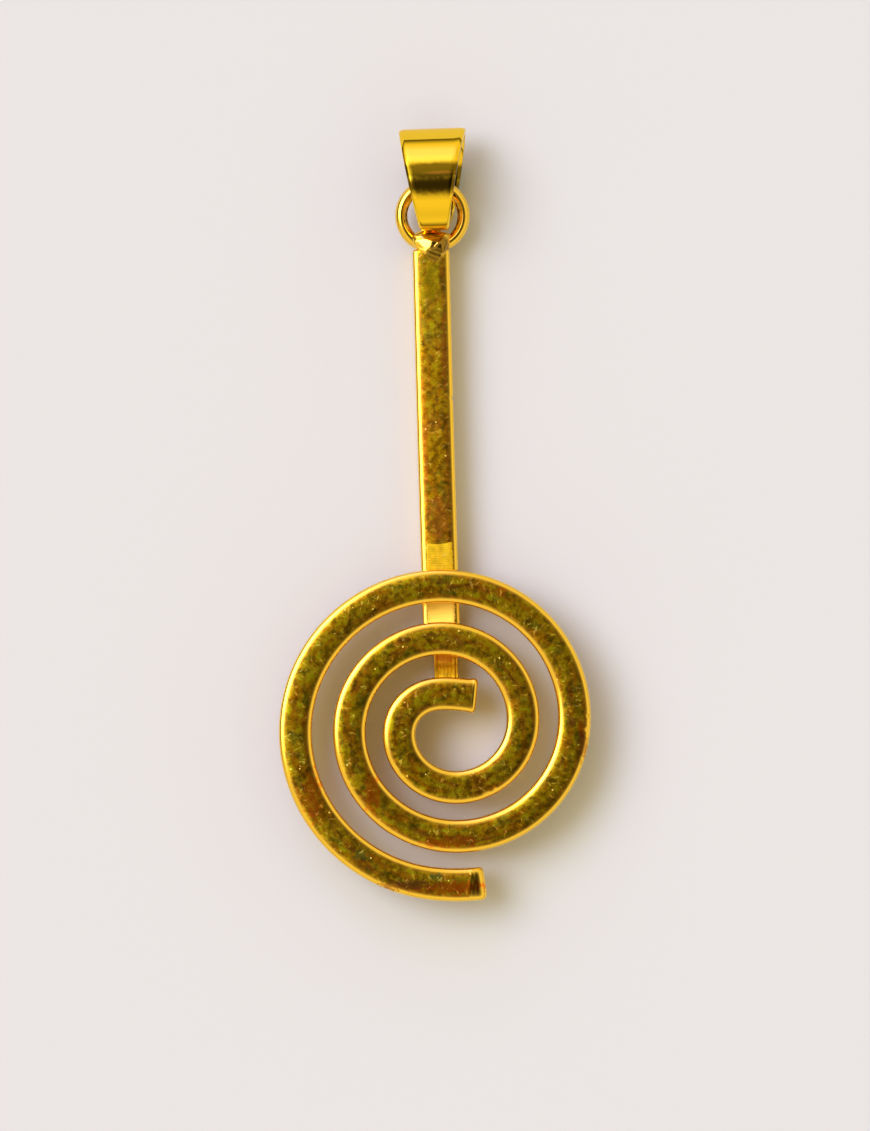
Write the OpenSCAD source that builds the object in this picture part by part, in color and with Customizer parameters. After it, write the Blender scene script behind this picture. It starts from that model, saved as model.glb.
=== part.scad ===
// Spiral bar pendant: a square wire wound into a flat spiral and soldered into the notch of a
// straight square bar, with a round ring soldered to the bar's top end and a folded, tapered
// bail that loops through the ring. It lies on its back: +Z is its front, and +Y points from
// the spiral to the bail. Every place is first given from the ring's height on the bar's axis.

/* [Spiral wire] */
// Width of the wire, across the spiral
wire_w = 2.65; // [2.4:0.05:2.8]
// Thickness of the wire, from front to back
wire_t = 2.65; // [2.3:0.05:2.9]
// Radius of the wire's long edges
wire_edge_r = 0.4; // [0.3:0.05:0.8]
// Straight length at the wire's inner end
inner_straight = 2.8; // [1.5:0.1:3.5]
// Length of the sloping facet on the outer end's front
outer_facet_l = 1.3; // [0.4:0.1:1.6]
// Fall of the outer end's facet
outer_facet_fall = 0.6; // [0.2:0.1:1]
// Length and fall of the small bevel on the inner end's front
inner_bevel = 0.2; // [0.1:0.05:0.4]

/* [Bar] */
// Width of the bar
bar_w = 3; // [2.8:0.1:3.2]
// Thickness of the bar, from front to back
bar_t = 3; // [2.7:0.1:3.1]
// Radius of the bar's long edges at its front
bar_edge_r = 0.45; // [0.3:0.05:0.7]
// Radius of the bar's long edges at its back, which it lies on
bar_back_r = 0.25; // [0.1:0.05:0.3]
// Distance from the ring's centre down to the bar's top end
bar_top_drop = 2.7; // [2.5:0.1:2.9]
// Distance from the ring's centre down to the bar's tip
bar_tip_drop = 38.8; // [38:0.1:39.2]
// Depth of the notch that the spiral is soldered into
notch_depth = 1.0; // [0.6:0.1:1.4]
// Distance from the ring's centre down to the notch's shoulder
notch_drop = 28.5; // [28.4:0.1:29]
// Width of the bar's filed tip
tip_w = 1.95; // [1.8:0.05:2.2]
// Sideways place of the tip's middle, from the bar's axis
tip_x = 0.25; // [0:0.05:0.3]
// Distance from the ring's centre down to where the tip narrows
tip_drop = 33.6; // [33:0.1:35]
// Radius of the tip's round end corners, seen from the front
tip_end_r = 0.7; // [0.4:0.1:0.9]

/* [Ring] */
// Outer diameter of the ring
ring_od = 6.0; // [5.6:0.1:6.2]
// Diameter of the ring's wire
ring_wire_d = 1.0; // [0.8:0.05:1.1]
// Sideways place of the ring's centre, from the bar's axis
ring_x = 0.2; // [0:0.1:0.4]
// Height of the ring's middle plane
ring_z = 2.2; // [2:0.1:2.4]

/* [Solder] */
// Radius of the solder bead between the ring and the bar
bead_r = 1.4; // [1.2:0.1:1.5]
// Distance from the ring's centre down to the bead's centre
bead_drop = 2.95; // [2.8:0.05:3.2]
// Length of the solder that runs up the bar from the outer turn
fillet_l = 2.1; // [1:0.1:2.5]
// Height of that solder against the outer turn
fillet_h = 0.3; // [0.1:0.05:0.6]
// Length of the solder between the bar's tip and the inner end's turn
tip_fillet_l = 0.7; // [0.3:0.1:1.2]
// Height of that solder against the inner end's turn
tip_fillet_h = 0.7; // [0.3:0.1:1]

/* [Bail] */
// Width of the bail at its top roll
bail_top_w = 5.4; // [5:0.1:5.6]
// Width of the bail at its closed tip
bail_tip_w = 2.3; // [2:0.1:2.4]
// Thickness of the bail's strip
bail_wall = 0.7; // [0.5:0.05:0.7]
// Depth of the bail from front to back
bail_depth = 6; // [5.6:0.1:6.2]
// Radius of the bail's arched front and back faces
bail_face_r = 4.4; // [4.3:0.1:4.8]
// Radius of the bail's top roll
bail_roll_r = 1.5; // [1.2:0.1:1.8]
// Radius of the bail's closed tip
bail_tip_r = 0.8; // [0.75:0.05:0.9]
// Distance from the ring's centre up to the crest of the bail's faces
bail_crest = 2.85; // [2.7:0.05:3]
// Sideways place of the bail's back, from the bar's axis
bail_x = 0.6; // [0.4:0.05:0.7]
// Angle that the bail has rolled over, its right side up
bail_tilt = 4; // [0:1:6]

/* [Hidden] */
$fn = 64;
GOLD = [0.83, 0.66, 0.16];

// The inner end's place from the ring's centre, and the way that the wire sets off from there
INNER_END = [2.63, -38.58];
INNER_HEADING = 172.8;

// The wire's bends from its inner end outwards, a row each: the angle turned to the left in
// degrees, and the radius of the wire's middle line
TURN = 0;
RADIUS = 1;
BENDS = [
  [90, 3.0],
  [90, 4.3],
  [90, 5.4],
  [90, 6.4],
  [90, 7.3],
  [90, 8.4],
  [90, 9.4],
  [90, 10.5],
  [90, 11.6],
  [90, 12.2],
  [13, 18.0]
];

// The bends that hold the spiral's farthest right, farthest left and lowest points
RIGHT_BEND = 7;
LEFT_BEND = 9;
LOW_BEND = 10;

// Solders lap over what they join by this much, so that the joint is one solid
lap = 0.05;
// Cutting solids reach this much past the metal that they cut
over = 1;

seat_z = bar_t - notch_depth;
wire_z = seat_z - lap;
ring_mid_r = (ring_od - ring_wire_d) / 2;

function along(heading) = [cos(heading), sin(heading)];
function leftwards(heading) = [-sin(heading), cos(heading)];

// Heading of the wire before bend i
function heading(i) = i == 0 ? INNER_HEADING : heading(i - 1) + BENDS[i - 1][TURN];

// Place of the wire's middle line before bend i, and the centre of bend i
function bend_start(i) = i == 0
  ? INNER_END + inner_straight * along(INNER_HEADING)
  : bend_centre(i - 1) - BENDS[i - 1][RADIUS] * leftwards(heading(i));
function bend_centre(i) = bend_start(i) + BENDS[i][RADIUS] * leftwards(heading(i));

ends = len(BENDS);
outer_end = bend_start(ends);
outer_heading = heading(ends);

// The bail's side view is an oval of four arcs: the faces' centres lie this far past its middle
// plane, and the small arcs' centres this far from the crest
face_shift = bail_face_r - bail_depth / 2;
function small_arc_y(r) = sqrt(pow(bail_face_r - r, 2) - pow(face_shift, 2));
roll_y = small_arc_y(bail_roll_r);
tip_y = small_arc_y(bail_tip_r);
bail_top = bail_crest + roll_y + bail_roll_r;
bail_low = bail_crest - tip_y - bail_tip_r;
function bail_half_w(y) = (bail_tip_w
  + (bail_top_w - bail_tip_w) * (y - bail_low) / (bail_top - bail_low)) / 2;
// The tilted bail rests on its left side, so it is lifted by as much as that side drops
bail_lift = bail_half_w(bail_crest) * sin(bail_tilt);

// The outline's box in plan, whose middle becomes the origin
left_x = bend_centre(LEFT_BEND)[0] - BENDS[LEFT_BEND][RADIUS] - wire_w / 2;
right_x = bend_centre(RIGHT_BEND)[0] + BENDS[RIGHT_BEND][RADIUS] + wire_w / 2;
low_y = bend_centre(LOW_BEND)[1] - BENDS[LOW_BEND][RADIUS] - wire_w / 2;
middle = [(left_x + right_x) / 2, (low_y + bail_top) / 2];

// A rectangle with round corners, centred
module round_rect(w, h, r) {
  square([w, h - 2 * r], center = true);
  square([w - 2 * r, h], center = true);
  for (sx = [-1, 1], sy = [-1, 1])
    translate([sx * (w / 2 - r), sy * (h / 2 - r)]) circle(r);
}

// The bar's section, which stands on the line below it and has finer corners there
module bar_section() {
  translate([0, bar_back_r + (bar_t - bar_edge_r - bar_back_r) / 2])
    square([bar_w, bar_t - bar_edge_r - bar_back_r], center = true);
  translate([0, bar_t / 4]) square([bar_w - 2 * bar_back_r, bar_t / 2], center = true);
  translate([0, bar_t * 3 / 4]) square([bar_w - 2 * bar_edge_r, bar_t / 2], center = true);
  for (side = [-1, 1]) {
    translate([side * (bar_w / 2 - bar_back_r), bar_back_r]) circle(bar_back_r);
    translate([side * (bar_w / 2 - bar_edge_r), bar_t - bar_edge_r]) circle(bar_edge_r);
  }
}

// Side views drawn with Y across and Z up, spread to both sides of the bar's axis
module side_prism(w) {
  translate([-w / 2, 0, 0]) rotate([90, 0, 90]) linear_extrude(w) children();
}

module wire_section() {
  round_rect(wire_w, wire_t, wire_edge_r);
}

// The wire from bend i outwards, which sets off from the origin along +X
module wire_from(i) {
  turn = BENDS[i][TURN];
  radius = BENDS[i][RADIUS];
  translate([0, radius, 0])
    rotate([0, 0, -90])
      rotate_extrude(angle = turn) translate([radius, 0]) wire_section();
  if (i + 1 < len(BENDS))
    translate([radius * sin(turn), radius * (1 - cos(turn)), 0])
      rotate([0, 0, turn]) wire_from(i + 1);
}

// What a slope takes off the wire's front at an end that faces along the heading
module end_slope(place, heading, length, fall) {
  top = wire_z + wire_t;
  translate([place[0], place[1], 0])
    rotate([0, 0, heading])
      translate([0, wire_w / 2 + over, 0])
        rotate([90, 0, 0]) linear_extrude(wire_w + 2 * over)
          polygon([[-length, top], [lap, top - fall * (1 + lap / length)], [lap, top + over],
            [-length, top + over]]);
}

module spiral() {
  difference() {
    translate([INNER_END[0], INNER_END[1], wire_z + wire_t / 2])
      rotate([0, 0, INNER_HEADING]) {
        rotate([90, 0, 90]) linear_extrude(inner_straight) wire_section();
        translate([inner_straight, 0, 0]) wire_from(0);
      }
    end_slope(INNER_END, INNER_HEADING + 180, inner_bevel, inner_bevel);
    end_slope(outer_end, outer_heading, outer_facet_l, outer_facet_fall);
  }
}

// What rounds a corner that lies at the origin and whose sides run along +X and +Y
module corner_cut(r) {
  difference() {
    translate([-over, -over]) square(r + over);
    translate([r, r]) circle(r);
  }
}

// The bar, with its notch and its narrow tip, whose end is round
module bar() {
  length = bar_tip_drop - bar_top_drop;
  tip_l = bar_tip_drop - tip_drop;
  difference() {
    translate([0, -bar_top_drop, 0])
      rotate([90, 0, 0]) linear_extrude(length) bar_section();
    translate([-bar_w / 2 - over, -bar_tip_drop - over, seat_z])
      cube([bar_w + 2 * over, bar_tip_drop + over - notch_drop, notch_depth + over]);
    for (side = [-1, 1]) {
      translate([tip_x + side * (tip_w + over) / 2 - over / 2, -bar_tip_drop - over, -over])
        cube([over, tip_l + over, bar_t + 2 * over]);
      translate([tip_x + side * tip_w / 2, -bar_tip_drop, -over])
        rotate([0, 0, 45 + side * 45]) linear_extrude(bar_t + 2 * over) corner_cut(tip_end_r);
    }
  }
}

module ring() {
  translate([ring_x, 0, ring_z])
    rotate_extrude() translate([ring_mid_r, 0]) circle(d = ring_wire_d);
}

// A bead at the ring, a thin fillet above the outer turn and one before the innermost turn
module solder() {
  translate([0, -bead_drop, ring_z - bead_r / 4]) sphere(bead_r);
  side_prism(bar_w - 2 * bar_edge_r)
    polygon([[-notch_drop - lap, bar_t - lap], [-notch_drop - lap, bar_t + fillet_h],
      [-notch_drop + fillet_l, bar_t], [-notch_drop + fillet_l, bar_t - lap]]);
  hook_y = INNER_END[1] + wire_w / 2 + inner_straight * sin(INNER_HEADING);
  translate([tip_x, 0, 0]) side_prism(tip_w)
    polygon([[hook_y - wire_edge_r, seat_z - lap], [hook_y - wire_edge_r, seat_z + tip_fillet_h],
      [hook_y + tip_fillet_l, seat_z], [hook_y + tip_fillet_l, seat_z - lap]]);
}

module spiral_drop() {
  color(GOLD) {
    spiral();
    bar();
    ring();
    solder();
  }
}

// The bail's oval side view, drawn in by an inset, with the crest at the middle
module bail_oval(inset) {
  face_r = bail_face_r - inset;
  lean_top = atan2(face_shift, roll_y);
  lean_tip = atan2(face_shift, tip_y);
  intersection() {
    translate([0, -face_shift]) circle(face_r);
    translate([0, face_shift]) circle(face_r);
    translate([-face_r * cos(lean_tip), -bail_depth / 2])
      square([face_r * (cos(lean_tip) + cos(lean_top)), bail_depth]);
  }
  translate([roll_y, 0]) circle(bail_roll_r - inset);
  translate([-tip_y, 0]) circle(bail_tip_r - inset);
}

module bail() {
  color(GOLD)
    translate([bail_x, 0, bail_lift])
      rotate([0, -bail_tilt, 0])
        intersection() {
          side_prism(bail_top_w + 2 * over)
            translate([bail_crest, bail_depth / 2])
              difference() {
                bail_oval(0);
                bail_oval(bail_wall);
              }
          linear_extrude(bail_depth)
            polygon([[-bail_tip_w / 2, bail_low], [bail_tip_w / 2, bail_low],
              [bail_top_w / 2, bail_top], [-bail_top_w / 2, bail_top]]);
        }
}

// Moves the whole pendant so that the origin is under the middle of its outline
module placed() {
  translate([-middle[0], -middle[1], 0]) children();
}

placed() spiral_drop();
placed() bail();
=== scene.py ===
"""Looks of the spiral bar pendant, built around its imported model.

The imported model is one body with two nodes: the soldered spiral drop and the loose bail. Five finer
pieces stand for them here: the spiral wire, the bar, the ring, the solder and the bail. All lengths
are metres, and a size known in millimetres is written times MM. Places in plan are given from the
datum, which is at the ring's height on the bar's axis, and heights from the floor.
"""

import logging
import math
from dataclasses import dataclass, field
from enum import Enum
from typing import NamedTuple

import bpy
import numpy as np
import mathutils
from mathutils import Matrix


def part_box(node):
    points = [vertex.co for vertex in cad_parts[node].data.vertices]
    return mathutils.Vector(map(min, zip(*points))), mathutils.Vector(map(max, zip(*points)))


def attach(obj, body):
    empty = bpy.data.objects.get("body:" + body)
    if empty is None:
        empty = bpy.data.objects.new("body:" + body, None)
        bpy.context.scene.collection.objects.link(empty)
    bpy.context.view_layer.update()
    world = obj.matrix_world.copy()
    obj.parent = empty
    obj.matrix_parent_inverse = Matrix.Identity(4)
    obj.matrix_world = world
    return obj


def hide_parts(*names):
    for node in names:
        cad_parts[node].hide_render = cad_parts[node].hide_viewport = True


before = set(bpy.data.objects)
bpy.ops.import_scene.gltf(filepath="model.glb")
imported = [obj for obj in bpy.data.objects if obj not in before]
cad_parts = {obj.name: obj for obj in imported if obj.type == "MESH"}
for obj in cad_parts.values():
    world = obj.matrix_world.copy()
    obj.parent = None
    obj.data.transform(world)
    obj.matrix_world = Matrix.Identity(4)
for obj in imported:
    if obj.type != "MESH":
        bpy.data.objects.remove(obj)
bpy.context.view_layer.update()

MM = 0.001
EASE_REACH = 0.15 * MM
EASE_READINGS = 9
ROUND_STATIONS = 8
ROUND_CLEARANCE = 1.2
STATION_DIGITS = 7

Array = np.ndarray
Colour = tuple[float, float, float]
Vector = tuple[float, float, float]
Source = bpy.types.NodeSocket | float | tuple[float, ...]

log = logging.getLogger("spiral_bar_pendant")


class Slot(Enum):
    """The record's material slots."""

    SPIRAL = "spiral_gold"
    BAIL = "bail_gold"


# Helpers for arrays


def smooth_step(low: float, high: float, values: Array) -> Array:
    """Rises from 0 at low to 1 at high: 3 t^2 - 2 t^3 of the clipped share t.

    Args:
        low: Value where the step is 0.
        high: Value where the step is 1.
        values: Values to map.

    Returns:
        Array of shares from 0 to 1.
    """
    share = np.clip((np.asarray(values, float) - low) / (high - low), 0.0, 1.0)
    return share * share * (3.0 - 2.0 * share)


def bell(centre: float, half_width: float, values: Array) -> Array:
    """Bell of height 1 at the centre: exp of minus the squared distance over half_width squared.

    Args:
        centre: Value where the bell peaks.
        half_width: Distance at which the bell has fallen to 1/e.
        values: Values to map.

    Returns:
        Array of shares from 0 to 1.
    """
    return np.exp(-(((np.asarray(values, float) - centre) / half_width) ** 2))


def waves(values: Array, lengths: tuple[float, ...], seed: int) -> Array:
    """Slow unevenness: a mean of sines of the given wavelengths with seeded phases.

    Args:
        values: Places along a line.
        lengths: Wavelengths, in the same unit as values.
        seed: Seed of the phases.

    Returns:
        Array from about -1 to 1.
    """
    phases = np.random.default_rng(seed).uniform(0.0, 2.0 * np.pi, len(lengths))
    terms = [np.sin(2.0 * np.pi * values / length + phase) for length, phase in zip(lengths, phases)]
    return np.mean(terms, axis=0)


def eased(rows: tuple[tuple[float, ...], ...], places: Array) -> Array:
    """Columns of a short table read at new places, with rounded bends between its rows.

    Formula: the rows are joined by straight lines, and each value is the mean of several readings
    spread evenly around its place.

    Args:
        rows: The table, whose first column is the place.
        places: Places to read at.

    Returns:
        Array of shape (columns - 1, places).
    """
    table = np.array(rows)
    spread = np.linspace(-EASE_REACH, EASE_REACH, EASE_READINGS)[:, None]
    return np.stack([
        np.interp(places[None, :] + spread, table[:, 0], column).mean(axis=0) for column in table.T[1:]
    ])


def end_inset(from_end: Array, radius: float) -> Array:
    """How far a quarter-round end draws a section in: radius less the round's height.

    Args:
        from_end: Distances from the end.
        radius: Radius of the rounding.

    Returns:
        Insets, 0 beyond the rounding.
    """
    near = np.clip(1.0 - from_end / radius, 0.0, 1.0)
    return radius * (1.0 - np.sqrt(1.0 - near**2))


def end_stations(length: float, radii: tuple[float, float], step: float, extra: Array) -> Array:
    """Stations along a bar: close together in its rounded ends and at extra places, else even.

    Args:
        length: The bar's length.
        radii: Radius of the rounding at the start and at the end.
        step: Distance between even stations.
        extra: More places to include.

    Returns:
        Sorted stations from 0 to the length.
    """
    quarter = 1.0 - np.cos(np.linspace(0.0, 0.5 * np.pi, ROUND_STATIONS))
    even = np.arange(radii[0] * ROUND_CLEARANCE, length - radii[1] * ROUND_CLEARANCE, step)
    stations = np.concatenate([radii[0] * quarter, even, extra, length - radii[1] * quarter])
    return np.unique(np.round(stations, STATION_DIGITS))


# Surfaces


@dataclass
class Surface:
    """A closed surface made of one or more tubes, with finish values at each point.

    `polish` is 0 on a worn flat and 1 on a bright edge, and `along` and `across` are lengths in
    millimetres that a pattern may follow.
    """

    points: list[Array] = field(default_factory=list)
    faces: list[tuple[int, ...]] = field(default_factory=list)
    values: dict[str, list[Array]] = field(default_factory=dict)
    count: int = 0

    def add_tube(
        self, grid: Array, polish: Array, along: Array, across: Array, capped: bool = True
    ) -> None:
        """Adds a tube: rings of points joined by quads, with its ends closed by fans or joined up.

        Args:
            grid: Points, shape (rings, points per ring, 3), each ring a closed outline.
            polish: Share of polish, which broadcasts to (rings, points per ring).
            along: Length along the piece in millimetres, which broadcasts likewise.
            across: Length across the piece in millimetres, which broadcasts likewise.
            capped: True closes both ends; False joins the last ring to the first.
        """
        rings, per_ring = grid.shape[:2]
        index = np.arange(rings * per_ring).reshape(rings, per_ring)
        rows = index if capped else np.concatenate([index, index[:1]])
        turned = np.roll(rows, -1, axis=1)
        quads = np.stack([rows[:-1], turned[:-1], turned[1:], rows[1:]], axis=-1).reshape(-1, 4)
        faces = [tuple(quad) for quad in quads.tolist()]
        points = grid.reshape(-1, 3)
        finish = {
            name: np.broadcast_to(value, (rings, per_ring)).reshape(-1)
            for name, value in (("polish", polish), ("along", along), ("across", across))
        }
        if capped:
            first, last = len(points), len(points) + 1
            points = np.concatenate([points, grid[[0, -1]].mean(axis=1)])
            faces += [(first, b, a) for a, b in zip(index[0].tolist(), turned[0].tolist())]
            faces += [(last, a, b) for a, b in zip(index[-1].tolist(), turned[-1].tolist())]
            finish = {
                name: np.concatenate([value, [value[:per_ring].mean(), value[-per_ring:].mean()]])
                for name, value in finish.items()
            }
        if signed_volume(points, faces) < 0.0:
            faces = [face[::-1] for face in faces]
        self.faces += [tuple(corner + self.count for corner in face) for face in faces]
        self.points.append(points)
        for name, value in finish.items():
            self.values.setdefault(name, []).append(value)
        self.count += len(points)

    def to_object(self, name: str, material: bpy.types.Material) -> bpy.types.Object:
        """Makes the mesh object, smooth shaded, at the origin.

        Args:
            name: Name of the piece.
            material: Finish of the piece.

        Returns:
            The new object.
        """
        mesh = bpy.data.meshes.new(name)
        mesh.from_pydata(np.concatenate(self.points).tolist(), [], self.faces)
        for key, parts in self.values.items():
            attribute = mesh.attributes.new(key, "FLOAT", "POINT")
            attribute.data.foreach_set("value", np.concatenate(parts).astype(np.float32))
        mesh.polygons.foreach_set("use_smooth", np.ones(len(mesh.polygons), bool))
        mesh.materials.append(material)
        mesh.update()
        piece = bpy.data.objects.new(name, mesh)
        bpy.context.scene.collection.objects.link(piece)
        return piece


def signed_volume(points: Array, faces: list[tuple[int, ...]]) -> float:
    """Volume inside a closed surface, positive where its faces point outwards.

    Formula: each face is fanned into triangles from its first corner, and the volume is a sixth of
    the sum of the triangles' triple products.

    Args:
        points: Points, shape (n, 3).
        faces: Corner indices of each face.

    Returns:
        The signed volume.
    """
    corners = [(face[0], face[k], face[k + 1]) for face in faces for k in range(1, len(face) - 1)]
    a, b, c = (points[column] for column in np.array(corners).T)
    return float(np.einsum("ij,ij->i", a, np.cross(b, c)).sum() / 6.0)


@dataclass(frozen=True)
class SquareSection:
    """Section of square stock: a superellipse with a slightly crowned front.

    `edge` is the distance from a side to the place where the rounded edge leans by 45 degrees,
    `crown` is how much lower the front lies at its edges than at its middle, and the bright rims
    fade out between `rim_start` and `rim_end` from a corner.
    """

    width: float
    thickness: float
    edge: float
    crown: float
    rim_start: float = 0.3 * MM
    rim_end: float = 0.5 * MM
    crown_power: int = 3
    per_side: int = 20

    def outline(self) -> tuple[Array, Array]:
        """The closed outline, anticlockwise from the right side's middle, and its share of polish.

        Formula: points round a square, closer together near its corners, are drawn in along their
        own rays until their norm of the section's power is one, then scaled to the half sizes. The
        power p follows from 1 - edge / half width = 2^(-1 / p). The front half is lowered by the
        crown times a power of the share across, times the share of the half thickness.

        Returns:
            Points across and up, shape (4 per_side, 2), and the polish at each, from 0 to 1.
        """
        power = -math.log(2.0) / math.log(1.0 - 2.0 * self.edge / self.width)
        side = np.sin(0.5 * np.pi * np.linspace(-1.0, 1.0, self.per_side, endpoint=False))
        ones = np.ones_like(side)
        square = np.concatenate([
            np.stack([ones, side], axis=-1), np.stack([-side, ones], axis=-1),
            np.stack([-ones, -side], axis=-1), np.stack([side, -ones], axis=-1),
        ])
        shape = square / ((np.abs(square) ** power).sum(axis=1) ** (1.0 / power))[:, None]
        front = np.clip(shape[:, 1], 0.0, 1.0)
        x = shape[:, 0] * self.width / 2.0
        fall = self.crown * np.abs(shape[:, 0]) ** self.crown_power
        z = shape[:, 1] * self.thickness / 2.0 - fall * front
        inside = (1.0 - np.abs(shape).min(axis=1)) * self.width / 2.0
        flat = smooth_step(self.rim_start, self.rim_end, inside) * (shape[:, 1] > np.abs(shape[:, 0]))
        return np.stack([x, z], axis=-1), 1.0 - flat


# The spiral wire


@dataclass(frozen=True)
class Nick:
    """A small dent in the wire's rim, at a place in plan from the datum."""

    x: float
    y: float
    radius: float
    depth: float

    def apart(self, x: Array, y: Array) -> Array:
        """Distances in plan from the nick."""
        return np.hypot(x - self.x, y - self.y)


@dataclass(frozen=True)
class InnerEnd:
    """The wire's inner end, cut square: its bevel, a slight flare, and a groove beside the bevel.

    The flare grows from `flare_start` to `flare_full` and the groove lies at `groove_place`, all
    measured from the end. `groove_middle` is the groove's share of its depth between the corners.
    """

    bevel: float = 0.32 * MM
    flare: float = 0.07 * MM
    flare_start: float = 0.9 * MM
    flare_full: float = 0.2 * MM
    groove: float = 0.09 * MM
    groove_place: float = 0.46 * MM
    groove_half: float = 0.07 * MM
    groove_middle: float = 0.3
    corner_power: int = 6
    polish_start: float = 0.5 * MM
    polish_full: float = 0.3 * MM

    def groove_depth(self, stations: Array, out: Array) -> Array:
        """Depth of the groove: a bell along the wire, deepest at the corners.

        Formula: the bell is multiplied by the middle's share plus the rest times a power of the
        share across.

        Args:
            stations: Distances from the end, one for each ring of points.
            out: Shares across, -1 and 1 at the wire's sides.

        Returns:
            Depths, of the same shape as the shares.
        """
        along = self.groove * bell(self.groove_place, self.groove_half, stations)[:, None]
        rest = (1.0 - self.groove_middle) * np.abs(out) ** self.corner_power
        return along * (self.groove_middle + rest)


@dataclass(frozen=True)
class OuterEnd:
    """The wire's outer end: its rounding, and the facet that falls towards it.

    `skew` is what the facet is longer by at the wire's right side. A winding ridge lies
    `ridge_place` from the end, and a crease, `crease_share` as high, where the facet starts.
    """

    rounding: float = 0.45 * MM
    length: float = 1.2 * MM
    skew: float = 0.3 * MM
    fall: float = 0.12 * MM
    ridge: float = 0.05 * MM
    ridge_place: float = 0.62 * MM
    ridge_swing: float = 0.12 * MM
    ridge_turn: float = 2.2
    ridge_half: float = 0.09 * MM
    crease_share: float = 0.7
    crease_half: float = 0.07 * MM
    polish_slope: float = 0.05

    def facet(self, from_end: Array, out: Array) -> tuple[Array, Array]:
        """The facet's slope, and the change in height that it makes.

        Formula: the slope grows evenly from 0 at the facet's start to 1 at the end. The front falls
        with it, and rises by a bell along the winding ridge and by another along the crease.

        Args:
            from_end: Distances from the end.
            out: Shares across, -1 and 1 at the wire's sides.

        Returns:
            Shares of the slope, and heights to add to the front.
        """
        start = self.length - self.skew * out
        slope = np.clip(1.0 - from_end / start, 0.0, 1.0)
        winding = self.ridge_place - self.ridge_swing * np.sin(self.ridge_turn * out)
        ridge = bell(0.0, self.ridge_half, from_end - winding)
        crease = self.crease_share * bell(0.0, self.crease_half, from_end - start)
        return slope, self.ridge * (ridge + crease) - self.fall * slope


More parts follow.
